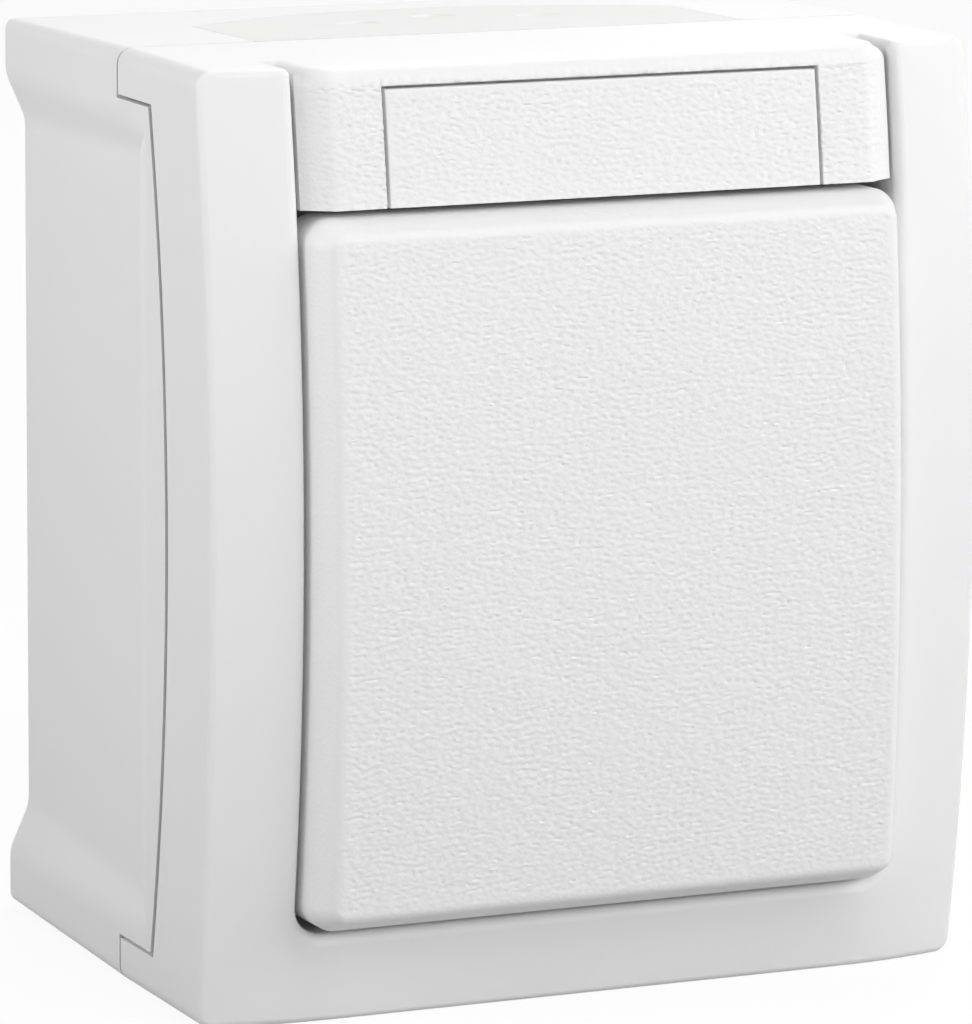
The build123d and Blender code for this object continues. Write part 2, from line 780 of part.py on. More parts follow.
# Switch base: a block with a contact well, terminal pockets, bearing ears and fixing lugs
pocket_width = pillar_width + 2 * pillar_clearance
pocket_length = pillar_length + 2 * pillar_clearance
with BuildPart() as base:
    with BuildSketch(facing(base_rear)):
        with Locations((0, pivot_level)):
            RectangleRounded(2 * base_half_width, 2 * base_half_height, base_corner)
    extrude(amount=base_depth)
    with BuildSketch(facing(lug_rear)):
        with Locations((0, pivot_level)):
            RectangleRounded(2 * (base_half_width + lug_reach), 2 * lug_half_height, base_corner)
    extrude(amount=lug_thickness)
    with BuildSketch(facing(floor_depth)):
        with Locations((0, pivot_level)):
            Rectangle(2 * well_half_width, 2 * well_half_height)
        with Locations(*terminal_places):
            Rectangle(pocket_width, pocket_length)
    extrude(amount=base_depth, mode=Mode.SUBTRACT)
    with BuildSketch(Plane.YZ.offset(bearing_inner), Plane.YZ.offset(-bearing_outer)):
        with Locations((-pivot_depth, pivot_level)):
            Circle(bearing_radius)
        with Locations((-(pivot_depth + base_front - base_floor) / 2, pivot_level)):
            Rectangle(pivot_depth - base_front + base_floor, 2 * bearing_radius)
    extrude(amount=bearing_thickness)
    with BuildSketch(Plane.YZ.offset(-bearing_outer)):
        with Locations((-pivot_depth, pivot_level)):
            Circle(trunnion_radius + trunnion_clearance)
    extrude(amount=2 * bearing_outer, mode=Mode.SUBTRACT)
    with BuildSketch(facing(lug_rear)):
        with Locations(*base_screw_places):
            Circle(deck_hole_radius)
    extrude(amount=lug_thickness, mode=Mode.SUBTRACT)
    with BuildSketch(facing(floor_depth)):
        add(fixed_strip_outline(1, strip_clearance))
        add(fixed_strip_outline(-1, strip_clearance))
        add(common_strip_outline(strip_clearance))
    extrude(amount=strip_thickness + strip_clearance, mode=Mode.SUBTRACT)
    for across, level in terminal_places:
        outward = 1 if level > pivot_level else -1
        with BuildSketch(Plane.XY.offset(level)):
            with Locations((across, -(strip_front + wire_lift))):
                Circle(wire_radius + pillar_clearance)
        extrude(amount=outward * pillar_length, mode=Mode.SUBTRACT)
write(base, "switch_base")

# Gasket between the base and the deck, round the hole in the deck
with BuildPart() as gasket:
    with BuildSketch(facing(base_front)):
        with Locations((0, pivot_level)):
            Rectangle(2 * (hole_half_width + gasket_side), 2 * (well_half_height + gasket_end))
            Rectangle(2 * hole_half_width, 2 * well_half_height, mode=Mode.SUBTRACT)
    extrude(amount=base_gasket_thickness)
write(gasket, "base_gasket")

# Screws and washers
base_screws = screw_set(base_screw_places, lug_front, screw_head_radius, screw_head_height,
                        screw_radius, base_screw_length)
write(base_screws, "base_screws")
cover_screws = screw_set(cover_screw_places, deck_front + washer_thickness, screw_head_radius,
                         screw_head_height, screw_radius, screw_length)
write(cover_screws, "cover_screws")
with BuildPart() as washers:
    with BuildSketch(facing(deck_front)):
        with Locations(*cover_screw_places):
            Circle(washer_radius)
            Circle(screw_radius + screw_clearance, mode=Mode.SUBTRACT)
    extrude(amount=washer_thickness)
write(washers, "cover_screw_washers")

# Contact bridge: a straight arm with a groove over the saddle, leaning to its closed lower contact
bridge_face, _, bridge_side = turned(bridge_lean, bridge_pivot, pivot_level)
with BuildPart() as bridge:
    with BuildSketch(bridge_face.offset(bridge_rear)):
        Rectangle(2 * bridge_half_width, 2 * bridge_half_length)
    extrude(amount=bridge_front - bridge_rear)
    with BuildSketch(bridge_side.offset(-bridge_half_width)):
        Circle(saddle_radius + saddle_clearance)
    extrude(amount=2 * bridge_half_width, mode=Mode.SUBTRACT)
write(bridge, "contact_bridge")

# Domed moving tips under the ends of the bridge
dome_angle = asin(dome_radius / dome_sphere)
with BuildPart() as moving_tips:
    for side in (-1, 1):
        middle = side * tip_offset
        with BuildSketch(bridge_side):
            with BuildLine():
                Polyline(
                    (dome_height - bridge_rear, middle),
                    (-bridge_rear, middle),
                    (-bridge_rear, middle + dome_radius),
                )
                ThreePointArc(
                    (-bridge_rear, middle + dome_radius),
                    (dome_sphere * cos(dome_angle / 2) - dome_centre,
                     middle + dome_sphere * sin(dome_angle / 2)),
                    (dome_height - bridge_rear, middle),
                )
            make_face()
        revolve(axis=Axis(bridge_face.from_local_coords((0, middle, 0)), bridge_face.z_dir))
write(moving_tips, "moving_contact_tips")

# Common terminal: the strip, the saddle that the bridge rocks on and its two cheeks
with BuildPart() as common:
    with BuildSketch(facing(floor_depth)):
        add(common_strip_outline(0))
    extrude(amount=strip_thickness)
    with BuildSketch(Plane.YZ.offset(-bridge_half_width)):
        with Locations((-bridge_pivot, pivot_level)):
            Circle(saddle_radius)
        with Locations((-(bridge_pivot + floor_depth) / 2, pivot_level)):
            Rectangle(bridge_pivot - floor_depth, 2 * saddle_radius)
    extrude(amount=2 * bridge_half_width)
    cheek_inner = bridge_half_width + saddle_cheek_gap
    cheek_top = bridge_pivot + bridge_front
    with BuildSketch(Plane.YZ.offset(cheek_inner), Plane.YZ.offset(-cheek_inner - saddle_cheek)):
        with Locations((-(cheek_top + floor_depth) / 2, pivot_level)):
            Rectangle(cheek_top - floor_depth, 2 * saddle_cheek_half_height)
    extrude(amount=saddle_cheek)
write(common, "common_terminal")

# Fixed contacts and their tips
with BuildPart() as upper_contact:
    with BuildSketch(facing(floor_depth)):
        add(fixed_strip_outline(1, 0))
    extrude(amount=strip_thickness)
write(upper_contact, "upper_contact")
with BuildPart() as lower_contact:
    with BuildSketch(facing(floor_depth)):
        add(fixed_strip_outline(-1, 0))
    extrude(amount=strip_thickness)
write(lower_contact, "lower_contact")
with BuildPart() as fixed_tips:
    with BuildSketch(facing(strip_front)):
        with Locations((0, pivot_level + tip_offset), (0, pivot_level - tip_offset)):
            Circle(tip_radius)
    extrude(amount=tip_thickness)
write(fixed_tips, "fixed_contact_tips")

# Terminal pillars, bored for the wire and for the clamping screw
with BuildPart() as pillars:
    with BuildSketch(facing(strip_front)):
        with Locations(*terminal_places):
            Rectangle(pillar_width, pillar_length)
    extrude(amount=pillar_height)
    for across, level in terminal_places:
        with BuildSketch(Plane.XY.offset(level)):
            with Locations((across, -(strip_front + wire_lift))):
                Circle(wire_radius)
        extrude(amount=pillar_length, both=True, mode=Mode.SUBTRACT)
    with BuildSketch(facing(strip_front + wire_lift)):
        with Locations(*terminal_places):
            Circle(terminal_screw_radius + screw_clearance)
    extrude(amount=pillar_height, mode=Mode.SUBTRACT)
write(pillars, "terminal_pillars")
terminal_screws = screw_set(terminal_places, strip_front + pillar_height + terminal_head_gap,
                            terminal_head_radius, terminal_head_height, terminal_screw_radius,
                            pillar_height + terminal_head_gap - wire_lift - wire_radius)
write(terminal_screws, "terminal_screws")
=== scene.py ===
import json
import math
import bpy
import numpy as np
from mathutils import Matrix, Vector


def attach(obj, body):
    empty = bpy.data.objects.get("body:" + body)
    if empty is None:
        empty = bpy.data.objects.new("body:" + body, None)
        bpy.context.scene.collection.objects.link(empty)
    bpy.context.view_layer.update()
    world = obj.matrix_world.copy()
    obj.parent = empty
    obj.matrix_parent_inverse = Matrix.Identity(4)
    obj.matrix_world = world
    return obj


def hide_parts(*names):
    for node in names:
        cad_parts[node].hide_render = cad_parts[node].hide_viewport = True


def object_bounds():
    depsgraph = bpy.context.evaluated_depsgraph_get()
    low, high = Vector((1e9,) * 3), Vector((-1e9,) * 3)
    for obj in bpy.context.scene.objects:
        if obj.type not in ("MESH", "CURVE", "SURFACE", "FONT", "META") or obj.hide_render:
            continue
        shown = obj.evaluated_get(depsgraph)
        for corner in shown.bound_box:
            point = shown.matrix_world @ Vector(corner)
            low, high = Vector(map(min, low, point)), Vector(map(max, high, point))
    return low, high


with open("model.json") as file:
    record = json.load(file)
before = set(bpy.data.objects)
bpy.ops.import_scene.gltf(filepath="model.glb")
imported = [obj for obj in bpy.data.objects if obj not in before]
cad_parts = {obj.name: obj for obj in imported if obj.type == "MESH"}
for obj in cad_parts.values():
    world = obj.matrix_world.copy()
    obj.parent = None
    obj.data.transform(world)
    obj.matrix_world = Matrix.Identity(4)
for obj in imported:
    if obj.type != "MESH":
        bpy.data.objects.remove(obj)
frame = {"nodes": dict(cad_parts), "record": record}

mm = 0.001
tiny = 1e-9  # keeps quotients and logarithms off zero
pureWhite = (1, 1, 1, 1)
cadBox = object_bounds()
nodes = frame["nodes"]


# sRGB hex to linear
def hexColour(code):
    srgb = np.array([int(code[i:i + 2], 16) for i in (1, 3, 5)]) / 255
    linear = np.where(srgb <= 0.04045, srgb / 12.92, ((srgb + 0.055) / 1.055) ** 2.4)
    return (*linear.tolist(), 1.0)


# adds one node, sets its settings, then links or fills its inputs
def addNode(tree, kind, inputs=None, **settings):
    made = tree.nodes.new(kind)
    for name, value in settings.items():
        setattr(made, name, value)
    for name, value in (inputs or {}).items():
        if isinstance(value, bpy.types.NodeSocket):
            tree.links.new(value, made.inputs[name])
        else:
            made.inputs[name].default_value = value
    return made


# two linear colours mixed by a share from 0 to 1
def mixTone(tree, share, low, high):
    mixed = addNode(tree, "ShaderNodeMix", {"Factor": share, "A": low, "B": high}, data_type="RGBA")
    return mixed.outputs["Result"]


def newMaterial(name):
    made = bpy.data.materials.new(name)
    made.use_nodes = True
    made.node_tree.nodes.clear()
    return made, made.node_tree


def addObject(name, data):
    made = bpy.data.objects.new(name, data)
    bpy.context.scene.collection.objects.link(made)
    return made


# camera, fitted to the switch's edges in the photo: mm and degrees
camera = {
    "place": (-229.6, -538.5, 102.0),
    "azimuth": -24.091,
    "elevation": 10.485,
    "roll": 0.365,
    "lens": 247.39,
    "sensor": 36,  # height of the picture
    "clipStart": 10,
}


def makeCamera(spec):
    az, el, roll = (math.radians(spec[k]) for k in ("azimuth", "elevation", "roll"))
    back = np.array([math.sin(az) * math.cos(el), -math.cos(az) * math.cos(el), math.sin(el)])
    right = np.cross(-back, (0, 0, 1.0))
    right /= np.linalg.norm(right)
    up = np.cross(right, -back)
    c, s = math.cos(roll), math.sin(roll)
    right, up = right * c + up * s, up * c - right * s
    data = bpy.data.cameras.new("camera")
    data.sensor_fit = "VERTICAL"
    data.sensor_height = spec["sensor"]
    data.lens = spec["lens"]
    data.clip_start = spec["clipStart"] * mm
    turn = np.eye(4)
    turn[:3, 0], turn[:3, 1], turn[:3, 2] = right, up, back
    turn[:3, 3] = np.array(spec["place"]) * mm
    obj = addObject("camera", data)
    obj.matrix_world = Matrix(turn.tolist())
    bpy.context.scene.camera = obj


makeCamera(camera)
bpy.context.scene.view_settings.view_transform = "Standard"
print("camera set")

# light: a faint even room, a white sweep that only seen rays meet, and soft round lamps
room = {
    "light": 0.1,  # strength of the even room
    "sweepTop": (0.25, 0.5),  # sines of the angles up between which the seen white ends
    "dim": 0.25,  # strength seen above it
    "floorTone": "#AAAAAA",  # what the floor throws back on the object
    "floorHalf": 3.0,  # m
    "seenWhite": 0.9,  # share of plain white in the seen floor
}
# places and sizes in m
lamps = [
    {"name": "overBack", "at": (0.3, 0.4, 0.5), "size": 0.4, "watts": 2.25},
    {"name": "frontRight", "at": (0.5, -0.6, 0.35), "size": 0.5, "watts": 2.35},
    {"name": "right", "at": (0.9, -0.3, 0.1), "size": 0.6, "watts": 1.2},
    {"name": "front", "at": (-0.1, -1.2, 0.2), "size": 0.8, "watts": 4.59},
    {"name": "nearFront", "at": (0.06, -0.3, 0.35), "size": 0.2, "watts": 0.36},
    {"name": "nearRight", "at": (0.22, -0.12, 0.24), "size": 0.15, "watts": 0.19},
    {"name": "nearLeft", "at": (-0.2, 0.0, 0.2), "size": 0.15, "watts": 0.085},
    {"name": "lowLeft", "at": (-0.22, -0.03, 0.07), "size": 0.12, "watts": 0.12},
    {"name": "midLeft", "at": (-0.24, -0.08, 0.12), "size": 0.15, "watts": 0.115},
    {"name": "rear", "at": (0.05, 1.2, 0.03), "size": 0.3, "watts": 2.0},
]
lampAim = (0, -0.025, 0)  # the middle of the switch, m


# 1 for rays that show the background: straight to the eye, by a mirror or through glass
def seenRays(tree):
    path = addNode(tree, "ShaderNodeLightPath")
    seen = path.outputs["Is Camera Ray"]
    for other in ("Is Glossy Ray", "Is Transmission Ray"):
        either = {0: seen, 1: path.outputs[other]}
        seen = addNode(tree, "ShaderNodeMath", either, operation="MAXIMUM").outputs[0]
    return seen


# the white sweep stands round the object up to a low height, and the room above it is dim
def makeRoom(spec):
    world = bpy.data.worlds.new("room")
    bpy.context.scene.world = world
    world.use_nodes = True
    tree = world.node_tree
    tree.nodes.clear()
    seen = seenRays(tree)
    way = addNode(tree, "ShaderNodeTexCoord").outputs["Generated"]
    height = addNode(tree, "ShaderNodeSeparateXYZ", {"Vector": way}).outputs["Z"]
    low, high = spec["sweepTop"]
    falling = {"Value": height, "From Min": low, "From Max": high, "To Min": 1.0, "To Max": spec["dim"]}
    shown = addNode(tree, "ShaderNodeMapRange", falling, interpolation_type="SMOOTHSTEP")
    lit = addNode(tree, "ShaderNodeBackground", {"Color": pureWhite, "Strength": spec["light"]})
    white = addNode(tree, "ShaderNodeBackground", {"Color": pureWhite, "Strength": shown.outputs[0]})
    both = addNode(tree, "ShaderNodeMixShader", {0: seen, 1: lit.outputs[0], 2: white.outputs[0]})
    addNode(tree, "ShaderNodeOutputWorld", {"Surface": both.outputs[0]})


def makeLamp(spec):
    data = bpy.data.lights.new(spec["name"], "AREA")
    data.shape = "DISK"
    data.size = spec["size"]
    data.energy = spec["watts"]
    obj = addObject(spec["name"], data)
    obj.location = spec["at"]
    aim = Vector(lampAim) - Vector(spec["at"])
    obj.rotation_euler = aim.to_track_quat("-Z", "Y").to_euler()
    obj.visible_camera = False


# grey paper to the light, nearly plain white to seen rays
def makeFloor(spec):
    half, low = spec["floorHalf"], cadBox[0][2]
    mesh = bpy.data.meshes.new("floor")
    corners = [(-half, -half, low), (half, -half, low), (half, half, low), (-half, half, low)]
    mesh.from_pydata(corners, [], [(0, 1, 2, 3)])
    obj = addObject("floor", mesh)
    paper, tree = newMaterial("matt white paper sweep")
    seen = seenRays(tree)
    share = addNode(tree, "ShaderNodeMath", {0: seen, 1: spec["seenWhite"]}, operation="MULTIPLY")
    tone = mixTone(tree, seen, hexColour(spec["floorTone"]), pureWhite)
    matt = addNode(tree, "ShaderNodeBsdfDiffuse", {"Color": tone})
    white = addNode(tree, "ShaderNodeEmission", {"Color": pureWhite, "Strength": 1.0})
    both = addNode(tree, "ShaderNodeMixShader", {0: share.outputs[0], 1: matt.outputs[0], 2: white.outputs[0]})
    addNode(tree, "ShaderNodeOutputMaterial", {"Surface": both.outputs[0]})
    mesh.materials.append(paper)


makeRoom(room)
for lamp in lamps:
    makeLamp(lamp)
makeFloor(room)
print("room and lamps set")

# moulded and rubbery materials, mm: the skin is the size of the mould's fine pitting and the depth its height, and
# the cloud is the slow drift of tone where the melt flowed
moulded = {
    # satin white with a barely seen pitting
    "white_moulding": {"name": "moulded ABS", "colour": "#EDEDED", "shade": "#EAEAEA", "rough": (0.46, 0.54),
                       "skin": 0.22, "depth": 0.004, "cloud": 18.0},
    # the same white, duller, with the finest lines of the grain, which lean as its relief does
    "grained_moulding": {"name": "grained ABS", "colour": "#EDEDED", "shade": "#EAEAEA", "rough": (0.48, 0.56),
                         "skin": (0.5, 0.28, 0.28), "tilt": 30.0, "depth": 0.04, "cloud": 22.0},
    # softer and a little darker than the box, with no gloss to speak of
    "entry_rubber": {"name": "moulded TPE", "colour": "#E7E7E7", "shade": "#E3E3E2", "rough": (0.58, 0.68),
                     "skin": 0.3, "depth": 0.006, "cloud": 8.0},
    # dark, dull and dusty
    "seal_rubber": {"name": "moulded EPDM", "colour": "#2F3032", "shade": "#3A3B3C", "rough": (0.7, 0.85),
                    "skin": 0.15, "depth": 0.01, "cloud": 3.0},
    # milky, with a soft sheen
    "carrier_nylon": {"name": "moulded nylon", "colour": "#D9D7CF", "shade": "#D0CDC3", "rough": (0.38, 0.48),
                      "skin": 0.25, "depth": 0.005, "cloud": 5.0},
    # slicker and paler than the nylon
    "plunger_acetal": {"name": "turned acetal", "colour": "#E6E5DF", "shade": "#DEDDD6", "rough": (0.26, 0.34),
                       "skin": 0.12, "depth": 0.003, "cloud": 2.0},
    # stony pale grey, speckled by its filler
    "base_thermoset": {"name": "pressed thermoset", "colour": "#B5B2AA", "shade": "#A6A39B", "rough": (0.5, 0.62),
                       "skin": 0.18, "depth": 0.008, "cloud": 0.5},
}
# metals, mm: marks are the sizes of drawn, rolled or turned lines in x, y and z
metals = {
    "spring_steel": {"name": "drawn spring steel", "colour": "#A9ABAE", "shade": "#8D9094", "rough": (0.26, 0.4),
                     "marks": (0.6, 0.06, 0.6), "depth": 0.002},
    "screw_steel": {"name": "zinc-plated steel", "colour": "#C9CCD0", "shade": "#B4B9C0", "rough": (0.28, 0.42),
                    "marks": (0.5, 0.5, 0.5), "depth": 0.002},
    "contact_brass": {"name": "stamped brass", "colour": "#D2AE62", "shade": "#BE9748", "rough": (0.24, 0.38),
                      "marks": (0.1, 0.1, 2.0), "depth": 0.002},
    "contact_silver": {"name": "rivet silver", "colour": "#DEDEDA", "shade": "#CFCFC9", "rough": (0.22, 0.36),
                       "marks": (0.2, 0.2, 0.2), "depth": 0.002},
}
detail = {"cloud": 2.0, "skin": 3.0, "marks": 4.0}  # finer and finer layers in each noise
noiseSpan = (0.3, 0.7)  # where nearly all of a noise lies
plasticIor = 1.53


# noise of a size in mm, alike all ways or given for x, y and z, and turned by a tilt in degrees about y
def sizedNoise(tree, size, layers, tilt=0.0):
    spot = addNode(tree, "ShaderNodeTexCoord").outputs["Object"]
    sizes = tuple(np.broadcast_to(size, 3) * mm)
    turned = {"Vector": spot, "Rotation": (0, math.radians(tilt), 0), "Scale": sizes}
    way = addNode(tree, "ShaderNodeMapping", turned, vector_type="TEXTURE").outputs[0]
    return addNode(tree, "ShaderNodeTexNoise", {"Vector": way, "Scale": 1.0, "Detail": layers}).outputs[0]


# the drift mixes the colour with its shade, and the relief is felt as gloss and as height
def finishMaterial(made, tree, spec, drift, relief, fixed):
    tone = mixTone(tree, drift, hexColour(spec["colour"]), hexColour(spec["shade"]))
    gloss = addNode(tree, "ShaderNodeMapRange", {
        "Value": relief, "From Min": noiseSpan[0], "From Max": noiseSpan[1],
        "To Min": spec["rough"][0], "To Max": spec["rough"][1]})
    bump = addNode(tree, "ShaderNodeBump", {"Height": relief, "Strength": 1.0, "Distance": spec["depth"] * mm})
    surface = addNode(tree, "ShaderNodeBsdfPrincipled", {
        "Base Color": tone, "Roughness": gloss.outputs[0], "Normal": bump.outputs[0], **fixed})
    addNode(tree, "ShaderNodeOutputMaterial", {"Surface": surface.outputs[0]})
    return made


def mouldedMaterial(spec):
    made, tree = newMaterial(spec["name"])
    cloud = sizedNoise(tree, spec["cloud"], detail["cloud"])
    skin = sizedNoise(tree, spec["skin"], detail["skin"], spec.get("tilt", 0.0))
    return finishMaterial(made, tree, spec, cloud, skin, {"IOR": plasticIor})


def metalMaterial(spec):
    made, tree = newMaterial(spec["name"])
    marks = sizedNoise(tree, spec["marks"], detail["marks"])
    return finishMaterial(made, tree, spec, marks, marks, {"Metallic": 1.0})


finishes = {slot: mouldedMaterial(spec) for slot, spec in moulded.items()}
finishes.update({slot: metalMaterial(spec) for slot, spec in metals.items()})
for entry in frame["record"]["subparts"]:
    nodes[entry["node"]].data.materials[0] = finishes[entry["material_slot"]]
print("finishes set on", len(nodes), "nodes")

# mould grain shared by the rocker, the hood and its insert: mm, degrees and spreads of height
grain = {
    "seed": 11,
    "tile": 57.6, "step": 0.06,  # side of the tile that repeats, and its samples
    "wave": 0.46, "spread": 0.3,  # wavelength, and how far the bell reaches on a log scale
    "stretch": 1.5, "lean": -30.0,  # how much longer the waves are along the lean
    "ridge": 0.6, "ridgeWidth": 0.8,  # share of the ridges in the blend, and their width
    "height": 0.039, "top": 2.0,  # mm for one spread, and the spreads at which tops are flat
    "pitch": (0.235, 0.13),  # of the meshes, across and up: the waves are shorter upward
}


# white noise whose waves are kept by a bell, on a log scale, round one wavelength that is longer along a lean; the
# lines where that noise crosses zero are raised to thin ridges, the two are blended, and the highest tops are flat
def grainField(spec):
    count = round(spec["tile"] / spec["step"])
    noise = np.random.default_rng(spec["seed"]).standard_normal((count, count))
    upWaves = np.fft.fftfreq(count, spec["step"])[:, None]
    acrossWaves = np.fft.rfftfreq(count, spec["step"])[None]
    c, s = math.cos(math.radians(spec["lean"])), math.sin(math.radians(spec["lean"]))
    along, aside = acrossWaves * c + upWaves * s, upWaves * c - acrossWaves * s
    waves = np.maximum(np.hypot(along * spec["stretch"], aside), tiny)
    bell = np.exp(-0.5 * (np.log(waves * spec["wave"]) / spec["spread"]) ** 2)
    field = np.fft.irfft2(np.fft.rfft2(noise) * bell, s=(count, count))
    field /= field.std()
    ridges = np.exp(-(field / spec["ridgeWidth"]) ** 2)
    mixed = spec["ridge"] * (ridges - ridges.mean()) / ridges.std() + (1 - spec["ridge"]) * field
    return np.minimum(mixed / mixed.std(), spec["top"])


# grain at any place in mm: straight blend of the four samples round it, the tile repeating; the whole face lies lower
# by the height of the tops, so that none stands proud
def grainAt(across, up, shown):
    count = len(grainTile)
    u, v = across / grain["step"], up / grain["step"]
    col, row = np.floor(u).astype(int), np.floor(v).astype(int)
    du, dv = u - col, v - row
    near = [grainTile[(row + j) % count, (col + i) % count] for j in (0, 1) for i in (0, 1)]
    low = near[0] * (1 - du) + near[1] * du
    high = near[2] * (1 - du) + near[3] * du
    return grain["height"] * (shown * (low * (1 - dv) + high * dv) - grain["top"])


grainTile = grainField(grain)


# lines across a piece: an even pitch in the middle, given distances in from each end, and extra lines
def gridLines(low, high, pitch, ends, extra=()):
    ends = np.asarray(ends)
    start, stop = low + ends[-1], high - ends[-1]
    middle = np.linspace(start, stop, round((stop - start) / pitch) + 1)
    return np.unique(np.concatenate([low + ends, middle, high - ends, np.asarray(extra, float)]).round(5))


# rounded outline: in a corner square a point keeps its larger coordinate as radius, and the ratio of the two as angle
def roundCorners(x, z, half, radius, only=None):
    p = np.maximum(np.abs(x) - (half[0] - radius), 0)
    q = np.maximum(np.abs(z) - (half[1] - radius), 0)
    corner = (p > 0) & (q > 0)
    if only:
        corner &= np.sign(z) == only
    big, small = np.maximum(p, q), np.minimum(p, q)
    angle = np.pi / 4 * small / np.maximum(big, tiny)
    along, aside = big * np.cos(angle), big * np.sin(angle)
    newX = np.sign(x) * (half[0] - radius + np.where(p >= q, along, aside))
    newZ = np.sign(z) * (half[1] - radius + np.where(p >= q, aside, along))
    inward = np.where(corner, radius - big, np.minimum(half[0] - np.abs(x), half[1] - np.abs(z)))
    return np.where(corner, newX, x), np.where(corner, newZ, z), inward


# drop of a bevelled edge at a distance in from the outline: a straight slope, then an arc that meets the face
def bevelDrop(inward, bevel, drop, rounding):
    turn = math.atan2(drop, bevel)
    centre = bevel + rounding * math.tan(turn / 2)
    arcEnd = centre - rounding * math.sin(turn)
    arc = rounding - np.sqrt(np.maximum(rounding ** 2 - (centre - inward) ** 2, 0))
    slope = drop - inward * drop / bevel
    return np.where(inward >= centre, 0, np.where(inward >= arcEnd, arc, slope))


# sag of a bow of a given radius at a distance from its crown
def sag(radius, away):
    return radius - np.sqrt(radius ** 2 - away ** 2)


# drop of a rounded edge at a distance in from it
def roundDrop(inward, radius):
    return sag(radius, np.clip(radius - inward, 0, radius))


# smooth step from 0 at low to 1 at high
def fade(value, low, high):
    share = np.clip((value - low) / (high - low), 0, 1)
    return share * share * (3 - 2 * share)


def gridFaces(rows, cols, start=0):
    index = start + np.arange(rows * cols).reshape(rows, cols)
    return np.stack([index[:-1, :-1], index[:-1, 1:], index[1:, 1:], index[1:, :-1]], -1).reshape(-1, 4)


# grid indices once round the rim, anticlockwise from the lower left
def rimOf(rows, cols):
    index = np.arange(rows * cols).reshape(rows, cols)
    return np.concatenate([index[0, :-1], index[:-1, -1], index[-1, :0:-1], index[:0:-1, 0]])


def bandFaces(front, back):
    return np.stack([front, back, np.roll(back, -1), np.roll(front, -1)], -1)


# boxes from their low and high corners: eight corners and six outward faces each
def boxes(corners):
    pick = np.array([[0, 0, 0], [1, 0, 0], [1, 1, 0], [0, 1, 0], [0, 0, 1], [1, 0, 1], [1, 1, 1], [0, 1, 1]])
    sides = np.array([[0, 3, 2, 1], [4, 5, 6, 7], [0, 1, 5, 4], [1, 2, 6, 5], [2, 3, 7, 6], [3, 0, 4, 7]])
    corners = np.asarray(corners, float)
    points = np.where(pick[None], corners[:, 1:2], corners[:, 0:1]).reshape(-1, 3)
    faces = (sides[None] + len(pick) * np.arange(len(corners))[:, None, None]).reshape(-1, 4)
    return points, faces


# a span and its mirror image, the mirrored one first
def mirrored(low, high):
    return (-high, -low), (low, high)


# across, up and forward in a frame that is tipped back by a lean, to world mm
def tipped(points, origin, lean):
    c, s = math.cos(math.radians(lean)), math.sin(math.radians(lean))
    axes = np.array([[1, 0, 0], [0, s, c], [0, -c, s]])
    return np.asarray(origin) + points @ axes


sharpAngle = 38.0  # degrees; flatter edges are shaded smooth


def putPiece(name, points, faces, body, node, slot):
    mesh = bpy.data.meshes.new(name)
    mesh.from_pydata((points * mm).tolist(), [], [list(f) for group in faces for f in group.tolist()])
    mesh.shade_smooth()
    mesh.set_sharp_from_angle(angle=math.radians(sharpAngle))
    mesh.materials.append(finishes[slot])
    obj = addObject(name, mesh)
    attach(obj, body)
    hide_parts(node)
    print(name, len(mesh.vertices), "points,", len(mesh.polygons), "faces")


# rocker cap, mm in its own tipped frame
rockerCap = {
    "origin": (0, -43.5, -1.8), "lean": 1.0, "half": (25.28, 27.9), "corner": 2.2,
    "front": 8.3, "bow": 300.0, "bevel": 1.2, "bevelDrop": 2.6, "edgeRound": 0.9,
    "rearEdge": 0.5, "skin": 1.9, "grainFade": (0.8, 2.6),
    "edgeLines": (0, 0.3, 0.6, 0.9, 0.98, 1.06, 1.16, 1.28, 1.42, 1.58, 1.78),
    # clip legs, hooks and ribs under the cap: half width, then low and high in up and in forward
    "clipLean": 2.5,
    "leg": (5.0, 9.1, 10.9, 0.1, 7.0), "hook": (5.0, 8.3, 9.2, 0.1, 1.1), "rib": (8.4, 3.6, 5.4, 3.3, 6.9),
}


